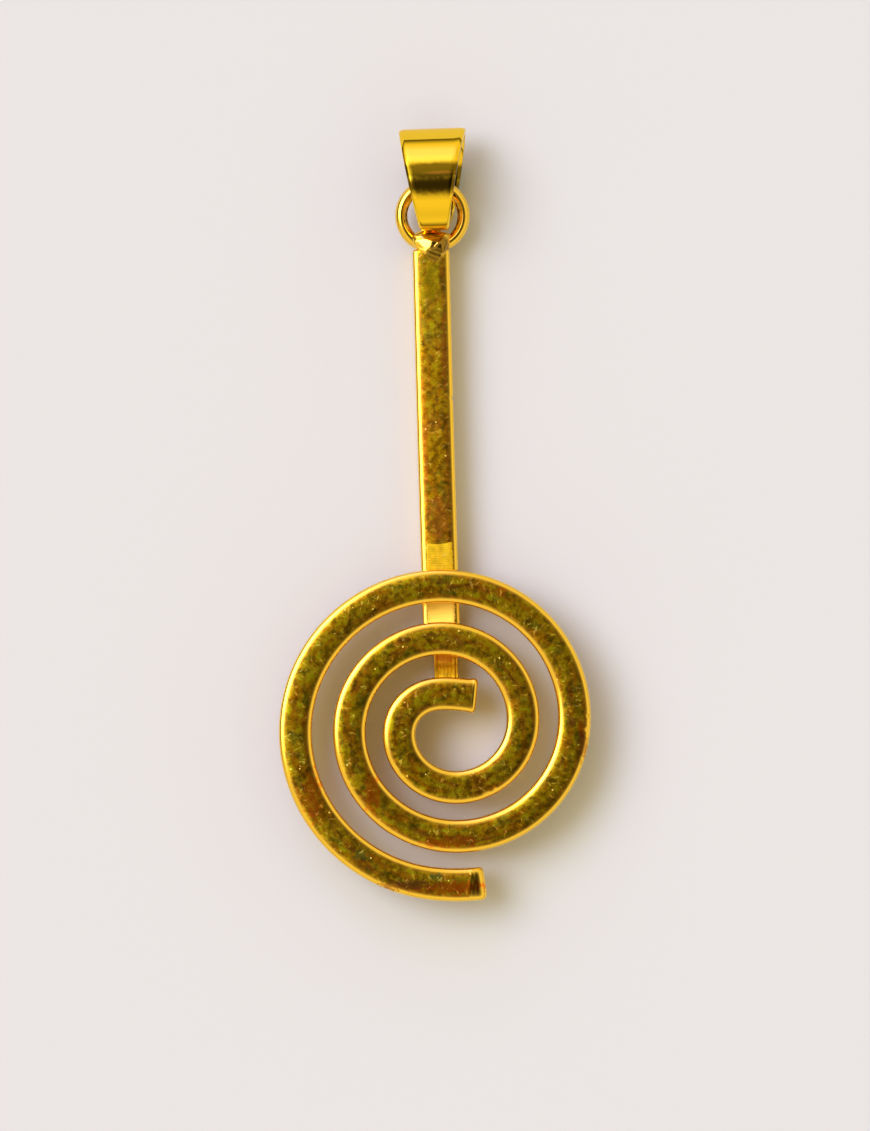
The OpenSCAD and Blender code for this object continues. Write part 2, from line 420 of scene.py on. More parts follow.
@dataclass
class SpiralWire:
    """The square wire, wound outwards from its inner end in bends that open step by step.

    The radii are in millimetres and the turns in degrees.
    """

    top: float
    datum: Array = field(default_factory=lambda: np.zeros(2))
    section: SquareSection = SquareSection(2.65 * MM, 2.65 * MM, 0.1 * MM, 0.1 * MM)
    start: tuple[float, float] = (2.63 * MM, -38.58 * MM)
    start_heading: float = 172.8
    start_straight: float = 2.8 * MM
    quarter_turn: float = 90.0
    quarter_radii: tuple[float, ...] = (3.0, 4.3, 5.4, 6.4, 7.3, 8.4, 9.4, 10.5, 11.6, 12.2)
    last_turn: float = 13.0
    last_radius: float = 18.0
    blend_length: float = 3.0 * MM
    blend_readings: int = 25
    step: float = 0.16 * MM
    left_bulge: float = 0.1 * MM
    inner_end: InnerEnd = InnerEnd()
    outer_end: OuterEnd = OuterEnd()
    nicks: tuple[Nick, ...] = (
        Nick(11.55 * MM, -40.4 * MM, 0.1 * MM, 0.06 * MM),
        Nick(11.45 * MM, -41.5 * MM, 0.13 * MM, 0.07 * MM),
        Nick(3.2 * MM, -28.75 * MM, 0.1 * MM, 0.06 * MM),
        Nick(3.2 * MM, -46.45 * MM, 0.3 * MM, 0.04 * MM),
        Nick(3.9 * MM, -46.1 * MM, 0.15 * MM, 0.03 * MM),
    )
    nick_reach: float = 0.3 * MM
    nick_rings: int = 15

    def middle_line(self) -> tuple[Array, Array, Array]:
        """The wire's middle line.

        Formula: the heading grows by length over radius along each bend; it is averaged over the
        blend length, so that one bend runs smoothly into the next, and the line is the running sum
        of steps along it. The left side of each turn is then moved left by the bulge times the
        square of the heading's share downwards.

        Returns:
            Lengths along the line, headings in radians, and points in plan from the datum.
        """
        bends = [(self.quarter_turn, radius * MM) for radius in self.quarter_radii]
        bends.append((self.last_turn, self.last_radius * MM))
        turns = np.array([0.0] + [turn for turn, _ in bends])
        lengths = [self.start_straight] + [math.radians(turn) * radius for turn, radius in bends]
        knots = np.concatenate([[0.0], np.cumsum(lengths)])
        headings = np.radians(self.start_heading + np.concatenate([[0.0], np.cumsum(turns)]))
        along = np.linspace(0.0, knots[-1], int(round(knots[-1] / self.step)) + 1)
        reach = np.minimum(0.5 * self.blend_length, np.minimum(along, knots[-1] - along))
        places = along[None, :] + np.linspace(-1.0, 1.0, self.blend_readings)[:, None] * reach[None, :]
        heading = np.interp(places, knots, headings).mean(axis=0)
        way = np.stack([np.cos(heading), np.sin(heading)], axis=-1)
        steps = np.diff(along)[:, None] * 0.5 * (way[:-1] + way[1:])
        line = np.array(self.start) + np.concatenate([np.zeros((1, 2)), np.cumsum(steps, axis=0)])
        line[:, 0] -= self.left_bulge * np.clip(-np.sin(heading), 0.0, 1.0) ** 2
        return along, heading, line

    def leftmost(self) -> float:
        """The outline's left side from the datum, as the plain bends give it."""
        line = self.middle_line()[2]
        return float(line[:, 0].min()) + self.left_bulge - self.section.width / 2.0

    def stations(self, along: Array, line: Array) -> Array:
        """Stations along the wire: even, and close together at its ends and beside its nicks.

        Args:
            along: Lengths along the middle line.
            line: The middle line's points.

        Returns:
            Sorted stations.
        """
        near = [np.argmin(nick.apart(line[:, 0], line[:, 1])) for nick in self.nicks]
        beside = np.linspace(-self.nick_reach, self.nick_reach, self.nick_rings)
        fine = np.concatenate([along[index] + beside for index in near])
        return end_stations(along[-1], (self.inner_end.bevel, self.outer_end.rounding), self.step, fine)

    def dent(self, grid: Array, turn: Array, across: Array, front: Array) -> None:
        """Draws the points near each nick towards the wire's middle and down, by a bell in plan.

        Args:
            grid: The wire's points, which are changed.
            turn: The wire's heading at each ring of points.
            across: Places across, to the left.
            front: Each point's height as a share of the thickness; those up to a half stay.
        """
        for nick in self.nicks:
            near = bell(0.0, nick.radius, nick.apart(grid[..., 0], grid[..., 1]))
            pull = nick.depth * near * (front > 0.5)
            grid[..., 0] += np.sin(turn) * pull * np.sign(across)
            grid[..., 1] -= np.cos(turn) * pull * np.sign(across)
            grid[..., 2] -= pull

    def surface(self) -> Surface:
        """The wire's surface: the section carried along the middle line.

        Formula: a point is the line's point plus the leftward normal times the place across. Near
        each end the section shrinks along a quarter circle. The ends' facet and groove change the
        height of the front, and the ends are polished.

        Returns:
            The closed surface.
        """
        along, heading, line = self.middle_line()
        inner, outer = self.inner_end, self.outer_end
        half, thickness = self.section.width / 2.0, self.section.thickness
        stations = self.stations(along, line)
        from_end = along[-1] - stations
        x, y, turn = (np.interp(stations, along, v)[:, None] for v in (line[:, 0], line[:, 1], heading))
        outline, polish = self.section.outline()
        shrink = 1.0 - (end_inset(stations, inner.bevel) + end_inset(from_end, outer.rounding)) / half
        flare = inner.flare * smooth_step(inner.flare_start, inner.flare_full, stations)
        across = outline[None, :, 0] * (shrink + flare / half)[:, None]
        height = outline[None, :, 1] * shrink[:, None]
        front = np.clip(0.5 + height / thickness, 0.0, 1.0)
        slope, relief = outer.facet(from_end[:, None], across / half)
        height = height + (relief - inner.groove_depth(stations, across / half)) * front
        grid = np.stack([
            x - np.sin(turn) * across, y + np.cos(turn) * across, self.top - thickness / 2.0 + height,
        ], axis=-1)
        self.dent(grid, turn, across, front)
        grid[..., :2] += self.datum
        at_inner = smooth_step(inner.polish_start, inner.polish_full, stations)[:, None]
        at_outer = smooth_step(0.0, outer.polish_slope, slope)
        polish = np.maximum(polish[None, :], np.maximum(at_inner, at_outer))
        surface = Surface()
        surface.add_tube(grid, polish, stations[:, None] / MM, across / MM)
        return surface


# The bar


@dataclass
class Bar:
    """The straight square bar, with the notch under the spiral and a narrow filed tip.

    Drops are measured down from the ring's height.
    """

    datum: Array
    section: SquareSection = SquareSection(3.0 * MM, 3.0 * MM, 0.1 * MM, 0.08 * MM)
    top_drop: float = 2.7 * MM
    tip_drop: float = 38.8 * MM
    notch_drop: float = 28.5 * MM
    notch_depth: float = 1.0 * MM
    notch_step: float = 0.06 * MM
    narrow_drop: float = 33.6 * MM
    narrow_step: float = 0.1 * MM
    tip_width: float = 1.95 * MM
    tip_shift: float = 0.25 * MM
    tip_radius: float = 0.7 * MM
    tip_edge: float = 0.05 * MM
    tip_rings: int = 12
    step: float = 0.15 * MM
    fine_reach: float = 0.12 * MM
    fine_rings: int = 9
    end_round: float = 0.25 * MM
    bow: float = 0.05 * MM
    chip_drop: float = 14.7 * MM
    chip_depth: float = 0.09 * MM
    chip_half: float = 0.14 * MM
    chip_rim: float = 0.8

    def narrowing(self, drop: Array) -> Array:
        """Share of the tip's narrowing: a smooth step at the shoulder."""
        return smooth_step(self.narrow_drop - self.narrow_step, self.narrow_drop + self.narrow_step, drop)

    def middle(self, drop: Array) -> Array:
        """Sideways place of the bar's middle: a slight bow, and the tip's shift below its shoulder."""
        share = (drop - self.top_drop) / (self.tip_drop - self.top_drop)
        return self.tip_shift * self.narrowing(drop) - self.bow * np.sin(np.pi * share)

    def stations(self) -> Array:
        """Stations from the bar's top, close together at its ends, shoulder, notch and chip."""
        length = self.tip_drop - self.top_drop
        beside = np.linspace(-self.fine_reach, self.fine_reach, self.fine_rings) - self.top_drop
        fine = [drop + beside for drop in (self.notch_drop, self.narrow_drop, self.chip_drop)]
        corner = self.tip_radius * (1.0 - np.cos(np.linspace(0.0, 0.5 * np.pi, self.tip_rings)))
        fine.append(length - corner)
        return end_stations(length, (self.end_round, self.tip_edge), self.step, np.concatenate(fine))

    def surface(self) -> Surface:
        """The bar's surface: the section carried down from the ring.

        Formula: the width and the front step over to the tip's and the notch's by smooth steps,
        the sides draw in round the tip's end corners, and the section shrinks along a quarter
        circle at the top end. A chip takes a little off the right rim.

        Returns:
            The closed surface.
        """
        stations = self.stations()
        drop = self.top_drop + stations
        outline, polish = self.section.outline()
        half, thickness = self.section.width / 2.0, self.section.thickness
        notch = smooth_step(self.notch_drop - self.notch_step, self.notch_drop + self.notch_step, drop)
        top_inset = end_inset(stations, self.end_round)
        tip_inset = end_inset(self.tip_drop - self.top_drop - stations, self.tip_radius)
        reach = half + (self.tip_width / 2.0 - half) * self.narrowing(drop) - top_inset - tip_inset
        across = outline[None, :, 0] / half * reach[:, None]
        height = outline[None, :, 1] * (1.0 - top_inset / half)[:, None] + thickness / 2.0
        height = height * (1.0 - self.notch_depth * notch / thickness)[:, None]
        chip = bell(self.chip_drop, self.chip_half, drop)[:, None]
        across = across - self.chip_depth * chip * smooth_step(self.chip_rim, 1.0, across / half)
        grid = np.stack([
            self.datum[0] + self.middle(drop)[:, None] + across,
            np.broadcast_to(self.datum[1] - drop[:, None], across.shape),
            height,
        ], axis=-1)
        surface = Surface()
        surface.add_tube(grid, polish[None, :], drop[:, None] / MM, across / MM)
        return surface


# The ring


@dataclass
class Ring:
    """The round jump ring that is soldered to the bar's top end."""

    datum: Array
    height: float = 2.2 * MM
    outer_diameter: float = 6.0 * MM
    wire: float = 1.0 * MM
    shift: float = 0.2 * MM
    unevenness: float = 0.012
    uneven_waves: float = 3.0
    uneven_start: float = 1.0
    # Towards the ring's inside the polish ends here, and the dark flat colour there is painted shade.
    painted_shade_inside: float = -0.9
    bright_from: float = 0.3
    rings: int = 200
    per_ring: int = 44

    def surface(self) -> Surface:
        """The ring's surface: a circle of the wire's radius carried round the ring's own circle.

        Formula: the wire's radius varies by a small share with a few waves round the ring. The
        polish fades round the wire towards the ring's inside, which takes a dark flat colour as painted
        shade.

        Returns:
            The closed surface.
        """
        turn = np.linspace(0.0, 2.0 * np.pi, self.rings, endpoint=False)[:, None]
        around = np.linspace(0.0, 2.0 * np.pi, self.per_ring, endpoint=False)[None, :]
        uneven = self.unevenness * np.sin(self.uneven_waves * turn + self.uneven_start)
        thick = self.wire / 2.0 * (1.0 + uneven)
        reach = (self.outer_diameter - self.wire) / 2.0 + thick * np.cos(around)
        grid = np.stack([
            self.datum[0] + self.shift + reach * np.cos(turn),
            self.datum[1] + reach * np.sin(turn),
            self.height + thick * np.sin(around),
        ], axis=-1)
        polish = smooth_step(self.painted_shade_inside, self.bright_from, np.cos(around))
        along, across = turn * self.outer_diameter / 2.0 / MM, around * self.wire / 2.0 / MM
        surface = Surface()
        surface.add_tube(grid, polish, along, across, capped=False)
        return surface


# The solder


class LumpRow(NamedTuple):
    """One row of a lump: its drop, sides, underside, and top at the left and right, from the datum."""

    drop: float
    left: float
    right: float
    base: float
    top_left: float
    top_right: float


@dataclass(frozen=True)
class Lump:
    """A lump of solder, given by its rows.

    `squareness` is the power of its superellipse, 2 for a round lump and more for a flat one, and
    `ragged` the length by which its sides waver.
    """

    rows: tuple[LumpRow, ...]
    squareness: float
    seed: int
    ragged: float = 0.0
    rib_height: float = 0.0
    rib_spacing: float = MM
    polish: float = 0.0
    faceted: bool = False


class Facet(NamedTuple):
    """A plane that the bead doesn't rise above: its place, its height there and its two slopes."""

    across: float
    drop: float
    level: float
    slope_across: float
    slope_down: float


@dataclass(frozen=True)
class Ridge:
    """A narrow ridge on the bead, from one place to another."""

    across: float = 0.95 * MM
    drop: float = 1.9 * MM
    end_across: float = 0.3 * MM
    end_drop: float = 2.6 * MM
    rise: float = 0.07 * MM
    half: float = 0.06 * MM

    def height(self, across: Array, drops: Array) -> Array:
        """Height that the ridge adds: a bell of the distance from its line.

        Args:
            across: Places across, from the bar's axis.
            drops: Places down, from the ring's height.

        Returns:
            Heights of the same shape.
        """
        length = math.hypot(self.end_across - self.across, self.end_drop - self.drop)
        way_x, way_y = (self.end_across - self.across) / length, (self.end_drop - self.drop) / length
        x, y = across - self.across, drops - self.drop
        beside, down = x * way_y - y * way_x, x * way_x + y * way_y
        beyond = down - np.clip(down, 0.0, length)
        return self.rise * bell(0.0, self.half, np.hypot(beside, beyond))


@dataclass
class Solder:
    """The bead at the ring, the film above the outer turn, and the fillets in the spiral's gaps."""

    datum: Array
    bead: Lump = Lump((
        LumpRow(1.15 * MM, -0.7 * MM, 0.5 * MM, 1.6 * MM, 2.7 * MM, 2.7 * MM),
        LumpRow(1.50 * MM, -1.65 * MM, 1.75 * MM, 1.3 * MM, 3.0 * MM, 3.0 * MM),
        LumpRow(2.10 * MM, -1.62 * MM, 1.62 * MM, 1.0 * MM, 3.35 * MM, 3.35 * MM),
        LumpRow(2.60 * MM, -1.3 * MM, 1.5 * MM, 0.7 * MM, 3.5 * MM, 3.5 * MM),
        LumpRow(3.00 * MM, -0.95 * MM, 1.35 * MM, 1.0 * MM, 3.45 * MM, 3.45 * MM),
        LumpRow(3.40 * MM, -0.5 * MM, 1.05 * MM, 2.0 * MM, 3.25 * MM, 3.25 * MM),
        LumpRow(3.80 * MM, 0.05 * MM, 0.6 * MM, 2.9 * MM, 3.04 * MM, 3.04 * MM),
    ), squareness=2.4, seed=3, ragged=0.05 * MM, polish=1.0, faceted=True)
    film: Lump = Lump((
        LumpRow(26.2 * MM, -1.0 * MM, 1.0 * MM, 2.7 * MM, 2.97 * MM, 2.98 * MM),
        LumpRow(26.5 * MM, -1.05 * MM, 1.02 * MM, 2.7 * MM, 3.03 * MM, 3.04 * MM),
        LumpRow(28.7 * MM, -1.08 * MM, 1.08 * MM, 2.7 * MM, 3.24 * MM, 3.22 * MM),
    ), squareness=12.0, seed=5, ragged=0.04 * MM)
    middle_pad: Lump = Lump((
        LumpRow(30.7 * MM, -1.2 * MM, 1.12 * MM, 1.7 * MM, 2.08 * MM, 2.4 * MM),
        LumpRow(31.6 * MM, -1.16 * MM, 1.12 * MM, 1.7 * MM, 2.14 * MM, 2.46 * MM),
        LumpRow(32.6 * MM, -1.14 * MM, 1.1 * MM, 1.7 * MM, 2.22 * MM, 2.54 * MM),
        LumpRow(33.0 * MM, -1.14 * MM, 1.1 * MM, 1.7 * MM, 2.26 * MM, 2.58 * MM),
    ), squareness=10.0, seed=7, ragged=0.06 * MM)
    tip_fillet: Lump = Lump((
        LumpRow(34.8 * MM, -0.6 * MM, 1.1 * MM, 1.7 * MM, 2.08 * MM, 2.08 * MM),
        LumpRow(36.0 * MM, -0.62 * MM, 1.15 * MM, 1.7 * MM, 2.1 * MM, 2.16 * MM),
        LumpRow(36.15 * MM, -0.66 * MM, 1.18 * MM, 1.7 * MM, 2.3 * MM, 2.3 * MM),
        LumpRow(36.9 * MM, -0.7 * MM, 1.2 * MM, 1.7 * MM, 2.75 * MM, 2.75 * MM),
        LumpRow(37.4 * MM, -0.7 * MM, 1.2 * MM, 1.7 * MM, 2.9 * MM, 2.9 * MM),
    ), squareness=8.0, seed=9, rib_height=0.05 * MM, rib_spacing=0.28 * MM)
    facets: tuple[Facet, ...] = (
        Facet(-0.3 * MM, 2.2 * MM, 3.27 * MM, 0.23, 0.02),
        Facet(-1.0 * MM, 2.4 * MM, 3.06 * MM, 0.42, -0.12),
        Facet(-1.1 * MM, 1.8 * MM, 2.98 * MM, 0.36, 0.34),
        Facet(0.7 * MM, 2.1 * MM, 3.32 * MM, -0.06, 0.02),
        Facet(0.5 * MM, 1.55 * MM, 3.2 * MM, 0.1, 0.45),
        Facet(0.4 * MM, 3.1 * MM, 3.22 * MM, 0.02, -0.22),
        Facet(1.4 * MM, 2.3 * MM, 3.15 * MM, -0.55, -0.05),
    )
    ridge: Ridge = Ridge()
    dent: float = 0.005 * MM
    dents_across: tuple[float, ...] = (0.71 * MM, 0.43 * MM)
    dents_down: tuple[float, ...] = (0.63 * MM, 0.37 * MM)
    dent_slants: tuple[float, float] = (0.3, -0.4)
    dent_seeds: tuple[int, int] = (11, 12)
    dents_above: float = 2.4 * MM
    left_wavering: tuple[float, ...] = (0.9 * MM, 0.37 * MM, 0.21 * MM)
    right_wavering: tuple[float, ...] = (0.7 * MM, 0.31 * MM, 0.17 * MM)
    rib_line_share: float = 0.5
    rings: int = 72
    per_ring: int = 96

    def cut_facets(self, across: Array, drops: Array, height: Array) -> Array:
        """Cuts facets on the bead, as solder sets.

        Formula: a facet rises from its level by its two slopes, and the bead's height is at most
        the lowest facet's. The ridge lies on top, and small sine waves dent the whole front.

        Args:
            across: Places across, from the bar's axis.
            drops: Places down, from the ring's height.
            height: Heights of the uncut lump.

        Returns:
            The new heights.
        """
        for facet in self.facets:
            rise = facet.slope_across * (across - facet.across)
            height = np.minimum(height, facet.level + rise + facet.slope_down * (drops - facet.drop))
        (slant_down, slant_across), (seed, other_seed) = self.dent_slants, self.dent_seeds
        dents = self.dent * waves(across + slant_down * drops, self.dents_across, seed)
        dents = dents + self.dent * waves(drops + slant_across * across, self.dents_down, other_seed)
        return height + (self.ridge.height(across, drops) + dents) * (height > self.dents_above)

    def add_lump(self, surface: Surface, lump: Lump) -> None:
        """Adds one lump.

        Formula: round each station a superellipse fills the space between the sides and between
        the underside and the top, which runs evenly from its height at the left to that at the
        right. The sides waver by sine waves, and ribs raise the top by sines across. The fine
        lines of a ribbed lump run down it, as its ribs do, at the ribs' spacing, as painted shade of
        the ribs; those of the others lie across.

        Args:
            surface: Surface that receives the lump.
            lump: The lump.
        """
        drops = np.linspace(lump.rows[0].drop, lump.rows[-1].drop, self.rings)[:, None]
        left, right, base, top_left, top_right = eased(lump.rows, drops[:, 0])[:, :, None]
        left = left + lump.ragged * waves(drops, self.left_wavering, lump.seed)
        right = right + lump.ragged * waves(drops, self.right_wavering, lump.seed + 1)
        turn = np.linspace(0.0, 2.0 * np.pi, self.per_ring, endpoint=False)[None, :]
        power = 2.0 / lump.squareness
        share = 0.5 + 0.5 * np.sign(np.cos(turn)) * np.abs(np.cos(turn)) ** power
        rise = 0.5 + 0.5 * np.sign(np.sin(turn)) * np.abs(np.sin(turn)) ** power
        across = left + (right - left) * share
        ribs = lump.rib_height * np.sin(2.0 * np.pi * across / lump.rib_spacing)
        height = base + (top_left + (top_right - top_left) * share + ribs - base) * rise
        if lump.faceted:
            height = self.cut_facets(across, drops, height)
        grid = np.stack([
            self.datum[0] + across, np.broadcast_to(self.datum[1] - drops, across.shape), height,
        ], axis=-1)
        # On the ribbed fillet the fine lines take the ribs' spacing: their dark stripes are painted shade
        # of the ribs.
        along = across * self.rib_line_share if lump.rib_height else drops
        surface.add_tube(grid, np.full((1, 1), lump.polish), along / MM, across / MM)

    def surface(self) -> Surface:
        """All the solder: the bead and the film, the pad in the outer gap and the ribbed fillet."""
        surface = Surface()
        for lump in (self.bead, self.film, self.middle_pad, self.tip_fillet):
            self.add_lump(surface, lump)
        return surface


# The bail


class Arc(NamedTuple):
    """An arc of the bail's side view.

    `along` and `height` are its centre's, from the crest's foot, and `start` and `end` are the
    turns in radians from straight up at which it starts and ends.
    """

    along: float
    height: float
    radius: float
    start: float
    end: float


@dataclass
class Bail:
    """The folded strip: wide and round at its top roll, and narrow where it closes."""

    datum: Array
    top_width: float = 5.4 * MM
    tip_width: float = 2.3 * MM
    wall: float = 0.7 * MM
    depth: float = 6.0 * MM
    face_radius: float = 4.96 * MM
    face_end: float = 45.0
    roll_radius: float = 1.5 * MM
    tip_radius: float = 1.2 * MM
    crest: float = 2.59 * MM
    shift: float = 0.6 * MM
    tilt: float = 4.0
    bevel: float = 0.38 * MM
    bevel_fall: float = 0.14 * MM
    bevel_power: float = 1.5
    bevel_points: int = 8
    flat_points: int = 6
    arris: float = 0.05 * MM
    ring_spacing: float = 0.07 * MM
    fewest_rings: int = 16

    def arcs(self) -> tuple[Arc, ...]:
        """The arcs of the side view: the face, the tip, the lower and the upper back, and the roll.

        Formula: neighbouring circles touch from inside, so their centres lie apart by the
        difference of their radii. The roll lies midway between the face and the upper back, the
        face meets the tip at the face's end angle, and the lower back's radius follows from
        touching both the tip and the floor below the crest.

        Returns:
            The arcs in order, each starting where the last one ends.
        """
        face, tip_r, roll_r = self.face_radius, self.tip_radius, self.roll_radius
        apart = face - self.depth / 2.0
        roll = math.sqrt((face - roll_r) ** 2 - apart**2)
        lean_roll, lean_tip = math.atan2(roll, apart), math.radians(self.face_end)
        tip = (face - tip_r) * math.sin(lean_tip)
        tip_up = self.depth - face + (face - tip_r) * math.cos(lean_tip)
        back = (tip**2 + tip_up**2 - tip_r**2) / (2.0 * (tip_up - tip_r))
        lean_back = math.atan2(tip, back - tip_up)
        return (
            Arc(0.0, self.depth - face, face, lean_roll, -lean_tip),
            Arc(-tip, tip_up, tip_r, -lean_tip, lean_back - math.pi),
            Arc(0.0, back, back, lean_back - math.pi, -math.pi),
            Arc(0.0, face, face, -math.pi, -math.pi - lean_roll),
            Arc(roll, self.depth / 2.0, roll_r, -math.pi - lean_roll, lean_roll - 2.0 * math.pi),
        )

    def half_width(self, place: Array) -> Array:
        """Half the strip's width, which grows evenly from the tip to the roll."""
        _, tip, _, _, roll = self.arcs()
        low = self.crest + tip.along - tip.radius
        high = self.crest + roll.along + roll.radius
        return (self.tip_width + (self.top_width - self.tip_width) * (place - low) / (high - low)) / 2.0

    def strip_section(self) -> tuple[Array, Array, Array]:
        """The strip's section: an oblong with four bevels, which steepen towards its sides.

        Formula: a bevel falls with a power of the share of its width, and ends in a small upright
        step. The insets are those of the strip's widest place.

        Returns:
            For each point the share of the half width, the inset from it, and the height from the
            strip's middle.
        """
        out = np.linspace(1.0, 0.0, self.bevel_points)
        side_in = np.concatenate([[0.0], self.bevel * (1.0 - out)])
        side_up = self.wall / 2.0 - self.bevel_fall * np.concatenate([[1.0], out**self.bevel_power])
        side_up[0] -= self.arris
        inner = np.linspace(1.0, -1.0, self.flat_points + 2)[1:-1]
        ones, zeros = np.ones_like(side_in), np.zeros_like(inner)
        level = np.full_like(inner, self.wall / 2.0)
        share = np.concatenate([ones, inner, -ones, -ones, -inner, ones])
        inset = np.concatenate([side_in, zeros, -side_in[::-1], -side_in, zeros, side_in[::-1]])
        rise = np.concatenate([side_up, level, side_up[::-1], -side_up, -level, -side_up[::-1]])
        return share[None, :], inset[None, :], rise[None, :]

    def surface(self) -> Surface:
        """The strip's surface: its section carried round the closed side view.

        Formula: the section takes the strip's width where it lies, and its height is measured from
        the wall's middle, outwards from the arcs. The whole is then tilted about its back's middle
        line and lifted by what its left side drops.

        Returns:
            The closed surface.
        """
        columns = []
        for arc in self.arcs():
            count = max(self.fewest_rings, int(arc.radius * abs(arc.end - arc.start) / self.ring_spacing))
            turn = np.linspace(arc.start, arc.end, count, endpoint=False)
            reach = arc.radius - self.wall / 2.0
            columns.append(np.stack([
                arc.along + reach * np.sin(turn), arc.height + reach * np.cos(turn), turn,
            ]))
        along, height, turn = np.concatenate(columns, axis=1)[:, :, None]
        share, inset, rise = self.strip_section()
        place = self.crest + along + rise * np.sin(turn)
        height = height + rise * np.cos(turn)
        half = self.half_width(place)
        across = share * half - inset * half / (self.top_width / 2.0)
        lean = math.radians(self.tilt)
        lift = float(self.half_width(np.array(self.crest))) * math.sin(lean)
        grid = np.stack([
            self.datum[0] + self.shift + across * math.cos(lean) - height * math.sin(lean),
            self.datum[1] + place,
            across * math.sin(lean) + height * math.cos(lean) + lift,
        ], axis=-1)
        surface = Surface()
        surface.add_tube(grid, np.ones((1, 1)), along / MM, across / MM, capped=False)
        return surface


# Node wiring


# Socket numbers of the Mix node's colours, whose names it gives to other sockets too
MIX_SHARE = 0
MIX_FIRST = 6
MIX_SECOND = 7
MIX_RESULT = 2


@dataclass(frozen=True)
class NoiseMask:
    """Noise made into a mask: its scale and detail, and the values between which the mask rises."""

    scale: float
    detail: float
    low: float
    high: float


@dataclass
class Wiring:
    """Adds nodes to one tree, feeds their inputs with values or links, and hands back outputs."""

    tree: bpy.types.NodeTree

    def add(
        self, kind: str, feeds: dict[str | int, Source], output: str | int = 0, **settings: object
    ) -> Source:
        """Adds one node.

        Args:
            kind: Name of its type, after the word ShaderNode.
            feeds: A value or another node's output for each input, by name or number.
            output: The output to hand back, by name or number.
            settings: The node's own settings.

        Returns:
            The chosen output.
        """
        node = self.tree.nodes.new(f"ShaderNode{kind}")
        for name, value in settings.items():
            setattr(node, name, value)
        self.feed_all(node, feeds)
        return node.outputs[output]

    def feed(self, socket: bpy.types.NodeSocket, value: Source) -> None:
        """Links an output to the socket, or sets the socket to a value."""
        if isinstance(value, bpy.types.NodeSocket):
            self.tree.links.new(value, socket)
        elif socket.type == "RGBA" and len(value) == 3:
            socket.default_value = (*value, 1.0)
        else:
            socket.default_value = value

    def feed_all(self, node: bpy.types.Node, feeds: dict[str | int, Source]) -> None:
        """Feeds a node's inputs, given by name or number."""
        for name, value in feeds.items():
            self.feed(node.inputs[name], value)

    def math(self, operation: str, first: Source, second: Source = 0.0, third: Source = 0.0) -> Source:
        """A Math node."""
        return self.add("Math", {0: first, 1: second, 2: third}, operation=operation)

    def vector(
        self, operation: str, first: Source, second: Source = (0.0, 0.0, 0.0), output: str = "Vector"
    ) -> Source:
        """A Vector Math node."""
        return self.add("VectorMath", {0: first, 1: second}, output, operation=operation)

    def scaled(self, vector: Source, factor: Source) -> Source:
        """A vector or a colour times one factor."""
        return self.add("VectorMath", {0: vector, "Scale": factor}, operation="SCALE")

    def mapped(
        self, value: Source, low: Source, high: Source, to_low: float = 0.0, to_high: float = 1.0
    ) -> Source:
        """A smooth step of the value from low to high, between two results."""
        return self.add("MapRange", {
            "Value": value, "From Min": low, "From Max": high, "To Min": to_low, "To Max": to_high,
        }, interpolation_type="SMOOTHSTEP")

    def noise(self, where: Source, scale: float, detail: float) -> Source:
        """A noise texture."""
        return self.add("TexNoise", {"Vector": where, "Scale": scale, "Detail": detail}, "Fac")

    def noise_mask(self, where: Source, mask: NoiseMask) -> Source:
        """A mask made of noise."""
        return self.mapped(self.noise(where, mask.scale, mask.detail), mask.low, mask.high)

    def cells(self, where: Source, scale: float, output: str) -> Source:
        """A cell texture."""
        return self.add("TexVoronoi", {"Vector": where, "Scale": scale}, output)

    def blend(self, share: Source, first: Source, second: Source) -> Source:
        """A mix of two colours by a share from 0 to 1."""
        feeds = {MIX_SHARE: share, MIX_FIRST: first, MIX_SECOND: second}
        return self.add("Mix", feeds, MIX_RESULT, data_type="RGBA", clamp_factor=True)

    def attribute(self, name: str) -> Source:
        """A value that the surface carries at its points."""
        return self.add("Attribute", {}, "Fac", attribute_name=name)

    def group(self, tree: bpy.types.NodeTree, feeds: dict[str | int, Source]) -> dict[str, Source]:
        """Places a node group and hands back all its outputs by name."""
        node = self.tree.nodes.new("ShaderNodeGroup")
        node.node_tree = tree
        self.feed_all(node, feeds)
        return {socket.name: socket for socket in node.outputs}


class Kind(Enum):
    """Socket types of the node groups."""

    FLOAT = "NodeSocketFloat"
    VECTOR = "NodeSocketVector"


def new_group(
    name: str, inputs: dict[str, Kind], outputs: tuple[str, ...]
) -> tuple[Wiring, dict[str, Source], bpy.types.Node]:
    """Makes an empty node group with its sockets.

    Args:
        name: Name of the group.
        inputs: Kind of each input by name.
        outputs: Names of the outputs, which are all single numbers.

    Returns:
        The group's wiring, its inputs by name as outputs of the input node, and its output node.
    """
    tree = bpy.data.node_groups.new(name, "ShaderNodeTree")
    for socket, kind in inputs.items():
        tree.interface.new_socket(socket, in_out="INPUT", socket_type=kind.value)
    for socket in outputs:
        tree.interface.new_socket(socket, in_out="OUTPUT", socket_type=Kind.FLOAT.value)
    entry = tree.nodes.new("NodeGroupInput")
    exit_node = tree.nodes.new("NodeGroupOutput")
    return Wiring(tree), {socket.name: socket for socket in entry.outputs if socket.name}, exit_node


